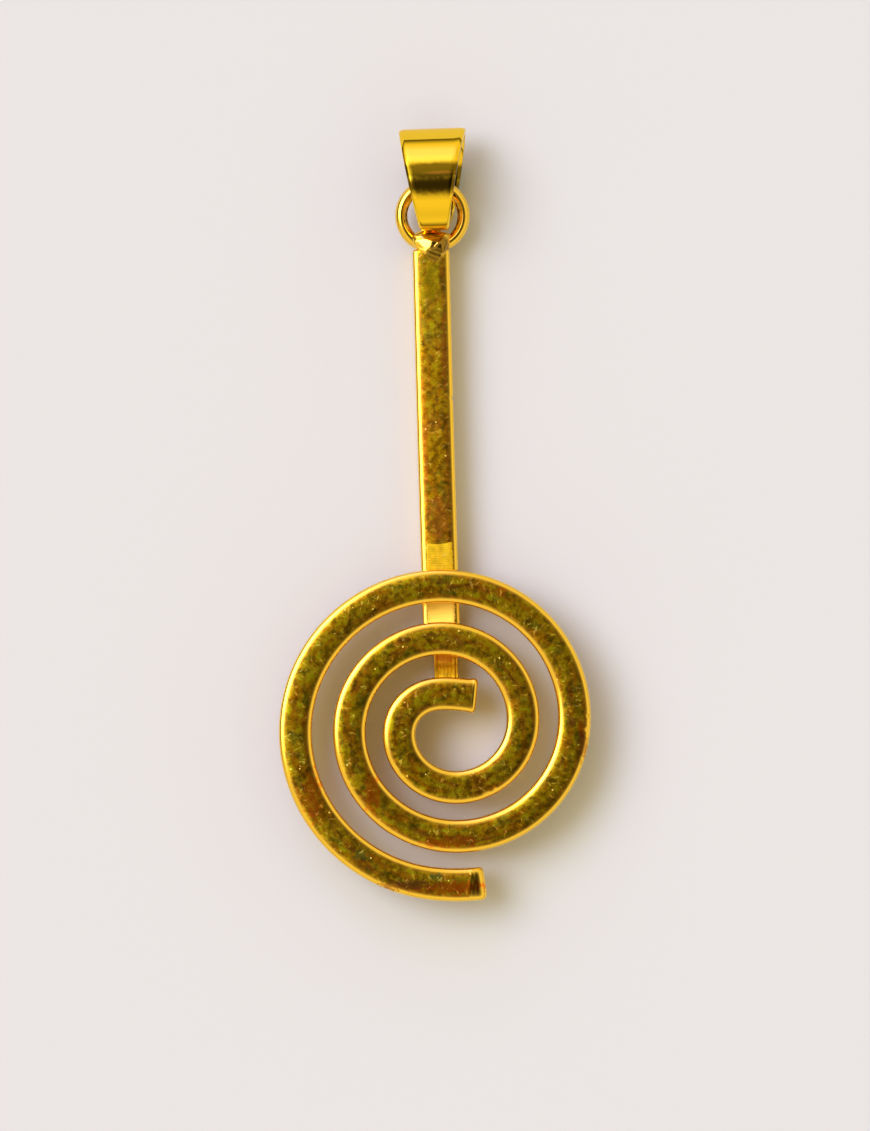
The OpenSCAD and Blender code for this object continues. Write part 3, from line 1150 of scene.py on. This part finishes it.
@dataclass
class Effects:
    """The node groups that the finishes share, each built once.

    Their lengths are in millimetres. A stretch is what a place is multiplied by before the noise is
    read there, and an offset is what is added to it. The grain, the spots' noise and the lines'
    bend are each a scale and a detail. Each slant of the strokes comes with an offset of its own.
    """

    green: NoiseMask = NoiseMask(1.2, 4.0, 0.5, 0.64)
    amber: NoiseMask = NoiseMask(1.0, 4.0, 0.47, 0.6)
    plum: NoiseMask = NoiseMask(1.2, 4.0, 0.54, 0.68)
    dark: NoiseMask = NoiseMask(1.5, 5.0, 0.5, 0.66)
    streak_stretch: Vector = (0.5, 1.7, 1.0)
    plum_offset: Vector = (41.0, 9.0, 3.0)
    dark_offset: Vector = (5.0, 23.0, 0.0)
    rim_plum: NoiseMask = NoiseMask(1.0, 3.0, 0.42, 0.56)
    rim_stretch: Vector = (0.3, 1.1, 1.0)
    rim_band: tuple[float, float] = (0.7, 0.92)
    grain: tuple[float, float] = (2.1, 5.0)
    strokes: NoiseMask = NoiseMask(1.0, 3.0, 0.58, 0.7)
    stroke_stretch: Vector = (3.2, 1.4, 1.0)
    stroke_slants: tuple[tuple[float, float], ...] = ((1.9, 0.0), (-1.3, 37.0))
    crowds: NoiseMask = NoiseMask(0.6, 3.0, 0.38, 0.58)
    crowd_offset: Vector = (3.0, 7.0, 2.0)
    speck_scale: float = 1.3
    speck_reach: tuple[float, float] = (0.12, 0.05)
    speck_choice: tuple[float, float] = (0.7, 0.74)
    spot_noise: tuple[float, float] = (2.8, 5.0)
    line_bend: tuple[float, float] = (1.5, 2.0)
    line_breaks: NoiseMask = NoiseMask(3.0, 2.0, 0.35, 0.65)
    patches: bpy.types.NodeTree = field(init=False)
    marks: bpy.types.NodeTree = field(init=False)
    spot: bpy.types.NodeTree = field(init=False)
    lines: bpy.types.NodeTree = field(init=False)

    def __post_init__(self) -> None:
        """Builds all the groups."""
        self.patches = self.tarnish_patches()
        self.marks = self.worn_marks()
        self.spot = self.single_spot()
        self.lines = self.file_lines_and_rib_shade()

    def tarnish_patches(self) -> bpy.types.NodeTree:
        """Tarnish: green blots, amber and plum streaks along a piece, and dark blots.

        The plum also gathers beside the rims, where the distance from the middle nears Edge.

        Returns:
            The group, which puts out four masks.
        """
        inputs = {"Place": Kind.VECTOR, "Flow": Kind.VECTOR, "Across": Kind.FLOAT, "Edge": Kind.FLOAT}
        wires, given, result = new_group("tarnish_patches", inputs, ("Green", "Amber", "Plum", "Dark"))
        place, flow = given["Place"], given["Flow"]
        streak = wires.vector("MULTIPLY", flow, self.streak_stretch)
        plum = wires.noise_mask(wires.vector("ADD", streak, self.plum_offset), self.plum)
        out = wires.math("DIVIDE", wires.math("ABSOLUTE", given["Across"]), given["Edge"])
        present = wires.noise_mask(wires.vector("MULTIPLY", flow, self.rim_stretch), self.rim_plum)
        beside = wires.math("MULTIPLY", wires.mapped(out, *self.rim_band), present)
        wires.feed_all(result, {
            "Green": wires.noise_mask(place, self.green),
            "Amber": wires.noise_mask(streak, self.amber),
            "Plum": wires.math("MAXIMUM", plum, beside),
            "Dark": wires.noise_mask(wires.vector("ADD", place, self.dark_offset), self.dark),
        })
        return wires.tree

    def worn_marks(self) -> bpy.types.NodeTree:
        """Handling marks: an uneven grain, short pale strokes in two slants, and pale specks.

        The strokes are peaks of noise that is drawn out across the piece, and come in crowds. The
        specks are the middles of some of the cells of a cell texture.

        Returns:
            The group, which puts out three masks.
        """
        inputs = {"Place": Kind.VECTOR, "Flow": Kind.VECTOR}
        wires, given, result = new_group("worn_marks", inputs, ("Grain", "Strokes", "Specks"))
        place, flow = given["Place"], given["Flow"]
        side = wires.add("SeparateXYZ", {0: flow}, "Y")
        strokes = 0.0
        for slant, apart in self.stroke_slants:
            lean = wires.add("CombineXYZ", {0: wires.math("MULTIPLY_ADD", side, slant, apart)})
            drawn = wires.vector("ADD", wires.vector("MULTIPLY", flow, self.stroke_stretch), lean)
            strokes = wires.math("MAXIMUM", wires.noise_mask(drawn, self.strokes), strokes)
        crowd = wires.noise_mask(wires.vector("ADD", place, self.crowd_offset), self.crowds)
        speck = wires.mapped(wires.cells(place, self.speck_scale, "Distance"), *self.speck_reach)
        chosen = wires.add("SeparateColor", {0: wires.cells(place, self.speck_scale, "Color")})
        wires.feed_all(result, {
            "Grain": wires.noise(place, *self.grain),
            "Strokes": wires.math("MULTIPLY", strokes, crowd),
            "Specks": wires.math("MULTIPLY", speck, wires.mapped(chosen, *self.speck_choice)),
        })
        return wires.tree

    def single_spot(self) -> bpy.types.NodeTree:
        """One ragged spot of colour round a centre, for stains and for painted shade and light.

        The distance from the centre, over the radius along each axis, is made uneven by noise, and
        the mask falls from 1 to 0 within Soft of a distance of 1.

        Returns:
            The group, which puts out one mask.
        """
        inputs = {
            "Place": Kind.VECTOR, "Centre": Kind.VECTOR, "Reach": Kind.VECTOR,
            "Ragged": Kind.FLOAT, "Soft": Kind.FLOAT,
        }
        wires, given, result = new_group("single_spot", inputs, ("Mask",))
        apart = wires.vector("SUBTRACT", given["Place"], given["Centre"])
        share = wires.vector("LENGTH", wires.vector("DIVIDE", apart, given["Reach"]), output="Value")
        uneven = wires.math("SUBTRACT", wires.noise(given["Place"], *self.spot_noise), 0.5)
        uneven = wires.math("MULTIPLY_ADD", uneven, given["Ragged"], share)
        outer, inner = (wires.math(way, 1.0, given["Soft"]) for way in ("ADD", "SUBTRACT"))
        wires.feed_all(result, {"Mask": wires.mapped(uneven, outer, inner)})
        return wires.tree

    def file_lines_and_rib_shade(self) -> bpy.types.NodeTree:
        """Fine lines at an even distance along a length, bent and broken by noise: file marks, and on the
        solder's ribbed fillet painted shade of its ribs.

        Returns:
            The group, which puts out one value from 0 to 1.
        """
        inputs = {"Place": Kind.VECTOR, "Length": Kind.FLOAT, "Spacing": Kind.FLOAT}
        wires, given, result = new_group("file_lines_and_rib_shade", inputs, ("Lines",))
        bend = wires.noise(given["Place"], *self.line_bend)
        turns = wires.math("DIVIDE", given["Length"], given["Spacing"])
        wave = wires.math("SINE", wires.math("MULTIPLY", wires.math("ADD", turns, bend), 2.0 * math.pi))
        strength = wires.noise_mask(given["Place"], self.line_breaks)
        half = wires.math("MULTIPLY", wires.math("MULTIPLY", wave, strength), 0.5)
        wires.feed_all(result, {"Lines": wires.math("ADD", half, 0.5)})
        return wires.tree


# Finishes


@dataclass(frozen=True)
class ColourSpot:
    """A named place with its own colour, in plan from the datum in millimetres. Most are stains, and
    some on the solder and the bail are painted shade, shadows, highlights and reflections.

    `ragged` is how far noise moves its edge and `soft` how far the edge fades, both as shares of
    its reach.
    """

    x: float
    y: float
    reach_x: float
    reach_y: float
    colour: Colour
    strength: float = 0.8
    ragged: float = 3.0
    soft: float = 0.25
    height: float = 3.0
    reach_up: float = 9.0


OLIVE_GREEN: Colour = (0.62, 0.47, 0.01)
RUST: Colour = (1.0, 0.2, 0.008)
PLUM: Colour = (0.42, 0.12, 0.03)
DARK_TEAL: Colour = (0.2, 0.32, 0.06)
# Rust on the bar; on the solder's seat in the lower gap the same brown is painted shadow.
RUST_AND_SHADOW_BROWN: Colour = (0.8, 0.24, 0.03)
# Painted highlight: the bright light that the solder pad in the upper gap reflects.
PAINTED_HIGHLIGHT_CREAM: Colour = (1.0, 0.72, 0.13)
BEAD_OLIVE: Colour = (0.34, 0.2, 0.02)
# Painted shade on the bead's right side.
BEAD_PAINTED_SHADE: Colour = (0.22, 0.12, 0.02)
BEAD_GREY: Colour = (0.5, 0.36, 0.12)
# Painted reflection on the bail's front: a dark band, the dark room overhead, with an orange streak in
# it.
PAINTED_REFLECTION_BLACK: Colour = (0.1, 0.06, 0.002)
PAINTED_REFLECTION_BROWN: Colour = (0.11, 0.065, 0.006)
PAINTED_REFLECTION_ORANGE: Colour = (0.4, 0.17, 0.02)

WIRE_STAINS = (
    ColourSpot(-10.7, -46.2, 0.7, 1.7, RUST, 0.6),
    ColourSpot(-5.9, -46.1, 0.6, 1.4, RUST, 0.6),
    ColourSpot(4.8, -30.3, 0.5, 0.35, RUST, 0.6),
    ColourSpot(10.8, -41.3, 0.2, 0.7, RUST, 0.6),
    ColourSpot(10.2, -40.9, 0.35, 0.3, PLUM, 0.7),
    ColourSpot(11.0, -42.9, 0.35, 1.1, PLUM, 0.6),
    ColourSpot(0.4, -53.8, 2.6, 0.5, RUST, 0.75),
    ColourSpot(-3.5, -53.5, 2.0, 0.35, PLUM, 0.7),
    ColourSpot(0.2, -50.1, 2.2, 0.4, RUST, 0.65),
    ColourSpot(6.0, -53.0, 1.8, 0.4, PLUM, 0.6),
    ColourSpot(-1.0, -52.9, 0.5, 0.3, DARK_TEAL, 0.7),
    ColourSpot(-7.0, -51.0, 0.6, 0.4, DARK_TEAL, 0.6),
    ColourSpot(0.8, -54.0, 0.4, 0.3, RUST, 0.7),
)
BAR_STAINS = (
    ColourSpot(0.8, -11.0, 0.22, 3.2, RUST_AND_SHADOW_BROWN, 0.6),
    ColourSpot(-0.3, -5.5, 0.7, 1.6, OLIVE_GREEN, 0.6),
    ColourSpot(-0.9, -17.0, 0.2, 5.0, RUST, 0.35),
    ColourSpot(0.1, -24.0, 0.8, 1.8, RUST_AND_SHADOW_BROWN, 0.45),
)
# The solder's spots: the bead's own colours, and painted light: a highlight on the pad, a shadow on the
# seat and shade on the bead.
SOLDER_STAINS_AND_PAINTED_LIGHT = (
    # Painted highlight on the solder pad in the upper gap.
    ColourSpot(0.0, -31.8, 1.8, 1.6, PAINTED_HIGHLIGHT_CREAM, 1.0),
    # Painted shadow on the seat in the lower gap, under the turn beside it.
    ColourSpot(0.2, -35.3, 1.4, 0.6, RUST_AND_SHADOW_BROWN, 0.6),
    ColourSpot(0.1, -3.4, 0.85, 0.5, BEAD_OLIVE, 0.85, 1.2),
    # Painted shade: the bead's right half made dark.
    ColourSpot(0.7, -2.4, 0.8, 0.8, BEAD_PAINTED_SHADE, 0.85, 0.9),
    ColourSpot(0.1, -1.65, 0.8, 0.3, BEAD_GREY, 0.8, 0.8),
)
# The bail's spots: three of painted reflection, then a brown one at its tip.
BAIL_STAINS_AND_PAINTED_REFLECTION = (
    # Painted reflection: the dark band and its orange streak across the bail's front.
    ColourSpot(0.6, 3.45, 4.5, 0.68, PAINTED_REFLECTION_BLACK, 0.92, 0.35, 0.3),
    ColourSpot(0.5, 2.3, 4.5, 0.72, PAINTED_REFLECTION_BROWN, 0.95, 0.6, 0.45),
    ColourSpot(0.9, 3.25, 1.3, 0.13, PAINTED_REFLECTION_ORANGE, 0.7, 0.9, 0.5),
    ColourSpot(0.7, -1.3, 1.0, 0.2, RUST_AND_SHADOW_BROWN, 0.5),
)


@dataclass(frozen=True)
class WornGold:
    """Gold plating: bright on the rims, and tarnished and scuffed on the flats.

    `flat` turns into `flat_low` between the two lengths of `low_drop`. `patina` is the share of the
    tarnish on the flats and `marks` that of the pale strokes. `mottle` and `lines` are the shares
    by which the grain and the fine lines change the flats' brightness. `edge` is how far from the
    middle the rims begin. Lengths are in millimetres, but `relief` is in metres.
    """

    name: str
    spots: tuple[ColourSpot, ...] = ()
    bright: Colour = (1.0, 0.64, 0.08)
    flat: Colour = (1.0, 0.63, 0.012)
    flat_low: Colour = (1.0, 0.63, 0.012)
    low_drop: tuple[float, float] = (3.0, 27.0)
    green: Colour = (0.42, 0.4, 0.025)
    amber: Colour = (1.0, 0.36, 0.008)
    plum: Colour = (0.5, 0.17, 0.02)
    dark: Colour = (0.42, 0.24, 0.015)
    pale: Colour = (1.0, 0.76, 0.2)
    bright_roughness: float = 0.1
    flat_roughness: float = 0.22
    pale_roughness: float = 0.6
    patina: float = 0.75
    marks: float = 0.3
    mottle: float = 0.5
    grain_range: tuple[float, float] = (0.35, 0.65)
    grain_relief: float = 0.6
    edge: float = 0.95
    lines: float = 0.06
    line_spacing: float = 0.21
    relief: float = 0.001 * MM

    def material(self, effects: Effects, datum: Array) -> bpy.types.Material:
        """Builds the node material.

        Args:
            effects: The shared node groups.
            datum: The datum's place in plan.

        Returns:
            The new material.
        """
        material = bpy.data.materials.new(self.name)
        material.use_nodes = True
        shader = material.node_tree.nodes["Principled BSDF"]
        shader.inputs["Metallic"].default_value = 1.0
        wires = Wiring(material.node_tree)
        own = wires.add("TexCoord", {}, "Object")
        moved = wires.vector("SUBTRACT", own, (float(datum[0]), float(datum[1]), 0.0))
        place = wires.vector("MULTIPLY", moved, (1.0 / MM,) * 3)
        polish, along, across = (wires.attribute(name) for name in ("polish", "along", "across"))
        worn = wires.math("SUBTRACT", 1.0, polish)
        flow = wires.add("CombineXYZ", {0: along, 1: across})
        marks = wires.group(effects.marks, {"Place": place, "Flow": flow})
        lines = wires.group(effects.lines, {
            "Place": place, "Length": along, "Spacing": self.line_spacing,
        })["Lines"]
        patches = wires.group(effects.patches, {
            "Place": place, "Flow": flow, "Across": across, "Edge": self.edge,
        })
        colour = self.tarnished(wires, wires.mapped(along, *self.low_drop), patches)
        colour = wires.scaled(colour, self.shade(wires, marks["Grain"], lines))
        colour = self.spotted(wires, effects, place, wires.blend(polish, colour, self.bright))
        strokes = wires.math("MULTIPLY", marks["Strokes"], self.marks)
        scuffed = wires.math("MULTIPLY", wires.math("MAXIMUM", strokes, marks["Specks"]), worn)
        rough = wires.mapped(polish, 0.0, 1.0, self.flat_roughness, self.bright_roughness)
        rough = wires.math("MULTIPLY_ADD", scuffed, self.pale_roughness - self.flat_roughness, rough)
        height = wires.math("MULTIPLY_ADD", marks["Grain"], self.grain_relief, lines)
        height = wires.math("MULTIPLY", wires.math("SUBTRACT", height, scuffed), worn)
        bump = wires.add("Bump", {"Strength": 1.0, "Distance": self.relief, "Height": height}, "Normal")
        wires.feed_all(shader, {
            "Base Color": wires.blend(scuffed, colour, self.pale), "Roughness": rough, "Normal": bump,
        })
        return material

    def tarnished(self, wires: Wiring, low: Source, patches: dict[str, Source]) -> Source:
        """The flats' colour with the tarnish over it.

        Args:
            wires: The material's wiring.
            low: Share of the lower colour.
            patches: The masks of the tarnish, by name.

        Returns:
            The colour.
        """
        colour = wires.blend(low, self.flat, self.flat_low)
        tints = {"Green": self.green, "Amber": self.amber, "Plum": self.plum, "Dark": self.dark}
        for name, tint in tints.items():
            colour = wires.blend(wires.math("MULTIPLY", patches[name], self.patina), colour, tint)
        return colour

    def shade(self, wires: Wiring, grain: Source, lines: Source) -> Source:
        """The flats' brightness: an even ramp of the grain, times the lines' own dimming.

        Args:
            wires: The material's wiring.
            grain: The uneven grain.
            lines: The fine lines, from 0 to 1.

        Returns:
            The factor for the flats' colour.
        """
        mottled = wires.add("MapRange", {
            "Value": grain, "From Min": self.grain_range[0], "From Max": self.grain_range[1],
            "To Min": 1.0 - self.mottle, "To Max": 1.0 + self.mottle,
        })
        return wires.math("MULTIPLY", mottled, wires.mapped(lines, 0.0, 1.0, 1.0 - self.lines, 1.0))

    def spotted(self, wires: Wiring, effects: Effects, place: Source, colour: Source) -> Source:
        """A colour with all its spots over it: stains, and painted shade, shadow, highlight and
        reflection.

        Args:
            wires: The material's wiring.
            effects: The shared node groups.
            place: The place from the datum in millimetres.
            colour: The colour below the spots.

        Returns:
            The spotted colour.
        """
        for spot in self.spots:
            mask = wires.group(effects.spot, {
                "Place": place, "Centre": (spot.x, spot.y, spot.height),
                "Reach": (spot.reach_x, spot.reach_y, spot.reach_up),
                "Ragged": spot.ragged, "Soft": spot.soft,
            })["Mask"]
            colour = wires.blend(wires.math("MULTIPLY", mask, spot.strength), colour, spot.colour)
        return colour


WIRE_GOLD = WornGold("wire_gold", spots=WIRE_STAINS)
BAR_GOLD = WornGold(
    "bar_gold", flat_low=(1.0, 0.46, 0.008), edge=1.05, spots=BAR_STAINS, flat_roughness=0.27,
    patina=0.65,
)
# The ring's dull dark flat colour, on its inside, is painted shade.
RING_GOLD = WornGold(
    "ring_gold", flat=(0.48, 0.34, 0.16), flat_low=(0.48, 0.34, 0.16), edge=9.0,
    flat_roughness=0.12, marks=0.1,
)
# The solder's fine lines are strong: on the ribbed fillet their dark stripes are painted shade of the
# ribs.
SOLDER_GOLD = WornGold(
    "solder_gold", flat=(0.85, 0.56, 0.02), flat_low=(0.85, 0.56, 0.02), flat_roughness=0.6,
    pale_roughness=0.7, patina=0.12, mottle=0.12, lines=0.3, line_spacing=0.14, edge=9.0,
    spots=SOLDER_STAINS_AND_PAINTED_LIGHT,
)
BAIL_GOLD = WornGold("bail_gold", bright=(1.0, 0.65, 0.03), bright_roughness=0.06, spots=BAIL_STAINS_AND_PAINTED_REFLECTION)


# The stage


@dataclass(frozen=True)
class Way:
    """A direction, by its azimuth from the x axis and its elevation, in degrees."""

    azimuth: float
    elevation: float

    def vector(self) -> Vector:
        """The direction as a vector of length one."""
        turn, rise = math.radians(self.azimuth), math.radians(self.elevation)
        return (math.cos(rise) * math.cos(turn), math.cos(rise) * math.sin(turn), math.sin(rise))


@dataclass(frozen=True)
class Lobe(Way):
    """A soft patch of light in the surroundings.

    It is full within `core` degrees of its direction and fades out at `reach`. A radiance below 0
    takes light away.
    """

    core: float
    reach: float
    radiance: float
    colour: Colour


@dataclass
class Surroundings:
    """The light around the object: a pale room that is dark overhead, and soft window light.

    `sky` gives the room's radiance by the angle in degrees from its dark centre. The room is dimmed
    to `floor_line_share` below the lower height of `floor_line`, which are heights of a direction's
    unit vector. `seen` is what the camera's own rays see.
    """

    dark_centre: Way = Way(-20.0, 82.5)
    sky: tuple[tuple[float, float], ...] = (
        (0.0, 0.04), (8.0, 0.065), (14.0, 0.15), (20.0, 0.34), (27.0, 0.7), (35.0, 0.95),
        (45.0, 0.92), (60.0, 0.8), (74.0, 0.92), (100.0, 0.95),
    )
    sky_tint: Colour = (1.08, 0.945, 0.55)
    floor_line: tuple[float, float] = (0.02, 0.24)
    floor_line_share: float = 0.15
    lobes: tuple[Lobe, ...] = (
        Lobe(152.0, 52.0, 10.0, 26.0, 5.6, (0.92, 0.95, 1.1)),
        Lobe(140.0, 48.0, 15.0, 40.0, 0.5, (0.96, 0.97, 1.2)),
        Lobe(103.0, 33.0, 6.0, 22.0, 0.5, (1.0, 0.86, 5.0)),
        Lobe(165.0, 0.0, 12.0, 38.0, -0.8, (1.0, 1.0, 1.0)),
    )
    seen: Colour = (0.8, 0.77, 0.74)
    strength: float = 0.97

    def build(self) -> None:
        """Makes the world's nodes, which give radiance as a function of direction."""
        world = bpy.data.worlds.new("surroundings")
        bpy.context.scene.world = world
        world.use_nodes = True
        wires = Wiring(world.node_tree)
        direction = wires.vector("NORMALIZE", wires.add("TexCoord", {}, "Generated"))
        height = wires.add("SeparateXYZ", {0: direction}, "Z")
        dimmed = wires.mapped(height, *self.floor_line, self.floor_line_share, 1.0)
        total = wires.scaled(self.room(wires, direction), dimmed)
        for lobe in self.lobes:
            angle = self.angle(wires, direction, lobe)
            glow = wires.mapped(angle, lobe.reach, lobe.core, 0.0, lobe.radiance)
            total = wires.vector("ADD", total, wires.scaled(lobe.colour, glow))
        total = wires.vector("MAXIMUM", total, (0.0, 0.0, 0.0))
        seen = wires.add("LightPath", {}, "Is Camera Ray")
        background = world.node_tree.nodes["Background"]
        wires.feed(background.inputs["Color"], wires.blend(seen, total, self.seen))
        background.inputs["Strength"].default_value = self.strength

    def room(self, wires: Wiring, direction: Source) -> Source:
        """The room's tinted radiance: a ramp over the angle from its dark centre."""
        widest = self.sky[-1][0]
        share = wires.math("DIVIDE", self.angle(wires, direction, self.dark_centre), widest)
        ramp = wires.add("ValToRGB", {0: share}, "Color")
        elements = ramp.node.color_ramp.elements
        for place, value in self.sky[1:-1]:
            elements.new(place / widest).color = (value, value, value, 1.0)
        for index, (_, value) in ((0, self.sky[0]), (-1, self.sky[-1])):
            elements[index].color = (value, value, value, 1.0)
        return wires.vector("MULTIPLY", ramp, self.sky_tint)

    def angle(self, wires: Wiring, direction: Source, way: Way) -> Source:
        """The angle in degrees between a direction and a given one."""
        agree = wires.vector("DOT_PRODUCT", direction, way.vector(), "Value")
        return wires.math("DEGREES", wires.math("ARCCOSINE", wires.math("MINIMUM", agree, 1.0)))


@dataclass
class Studio:
    """The pale floor and the camera that looks straight down."""

    datum: Array
    pixels_per_metre: float = 12500.0
    image_width: float = 870.0
    object_turn: float = 1.66
    centre: tuple[float, float] = (-0.41 * MM, -28.04 * MM)
    camera_height: float = 0.6
    middle_height: float = 3.5 * MM
    sensor_width: float = 36.0
    clip_start: float = 0.01
    floor_reach: float = 0.8
    floor_colour: Colour = (0.665, 0.675, 0.75)
    floor_roughness: float = 0.9
    floor_gloss: float = 0.1

    def camera(self) -> None:
        """Makes the camera over the photograph's middle, turned so that the bar leans as shown."""
        data = bpy.data.cameras.new("camera")
        data.sensor_fit = "HORIZONTAL"
        data.sensor_width = self.sensor_width
        width = self.image_width / self.pixels_per_metre
        data.lens = data.sensor_width * (self.camera_height - self.middle_height) / width
        data.clip_start = self.clip_start
        camera = bpy.data.objects.new("camera", data)
        camera.location = (*(self.datum + np.array(self.centre)), self.camera_height)
        camera.rotation_euler = (0.0, 0.0, -math.radians(self.object_turn))
        bpy.context.scene.collection.objects.link(camera)
        bpy.context.scene.camera = camera

    def floor(self) -> None:
        """Makes the plain pale floor."""
        far = self.floor_reach
        corners = [(-far, -far, 0), (far, -far, 0), (far, far, 0), (-far, far, 0)]
        mesh = bpy.data.meshes.new("floor")
        mesh.from_pydata(corners, [], [(0, 1, 2, 3)])
        material = bpy.data.materials.new("pale_floor")
        material.use_nodes = True
        shader = material.node_tree.nodes["Principled BSDF"]
        shader.inputs["Base Color"].default_value = (*self.floor_colour, 1.0)
        shader.inputs["Roughness"].default_value = self.floor_roughness
        shader.inputs["Specular IOR Level"].default_value = self.floor_gloss
        mesh.materials.append(material)
        floor = bpy.data.objects.new("floor", mesh)
        bpy.context.scene.collection.objects.link(floor)

    def build(self) -> None:
        """Makes the camera and the floor, and sets how the render shows colour."""
        self.camera()
        self.floor()
        bpy.context.scene.view_settings.view_transform = "Standard"


def dress(piece: bpy.types.Object, slot: Slot, *nodes: str) -> None:
    """Rides a piece on the only body and hides the nodes that it stands for.

    Args:
        piece: The finished piece.
        slot: Slot that the piece takes its finish from; not used.
        nodes: Names of the nodes that it replaces.
    """
    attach(piece, "root")
    if nodes:
        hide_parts(*nodes)
    log.info("%s: %d faces", piece.name, len(piece.data.polygons))


def main() -> None:
    """Builds the pieces in order, then the stage."""
    drop_low, drop_high = (np.array(corner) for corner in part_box("spiral_drop"))
    spiral = SpiralWire(drop_high[2])
    ring_reach = Ring(np.zeros(2)).outer_diameter / 2.0
    datum = np.array([drop_low[0] - spiral.leftmost(), drop_high[1] - ring_reach])
    spiral.datum = datum
    effects = Effects()
    wire_gold = WIRE_GOLD.material(effects, datum)
    bar_gold = BAR_GOLD.material(effects, datum)
    ring_gold = RING_GOLD.material(effects, datum)
    solder_gold = SOLDER_GOLD.material(effects, datum)
    bail_gold = BAIL_GOLD.material(effects, datum)
    dress(spiral.surface().to_object("spiral_wire", wire_gold), Slot.SPIRAL, "spiral_drop")
    dress(Bar(datum).surface().to_object("bar_stock", bar_gold), Slot.SPIRAL)
    dress(Ring(datum).surface().to_object("jump_ring", ring_gold), Slot.SPIRAL)
    dress(Solder(datum).surface().to_object("solder_work", solder_gold), Slot.SPIRAL)
    dress(Bail(datum).surface().to_object("folded_bail", bail_gold), Slot.BAIL, "bail")
    Studio(datum).build()
    Surroundings().build()


if __name__ == "__main__":
    logging.basicConfig(level=logging.INFO, format="%(name)s: %(message)s")
    main()
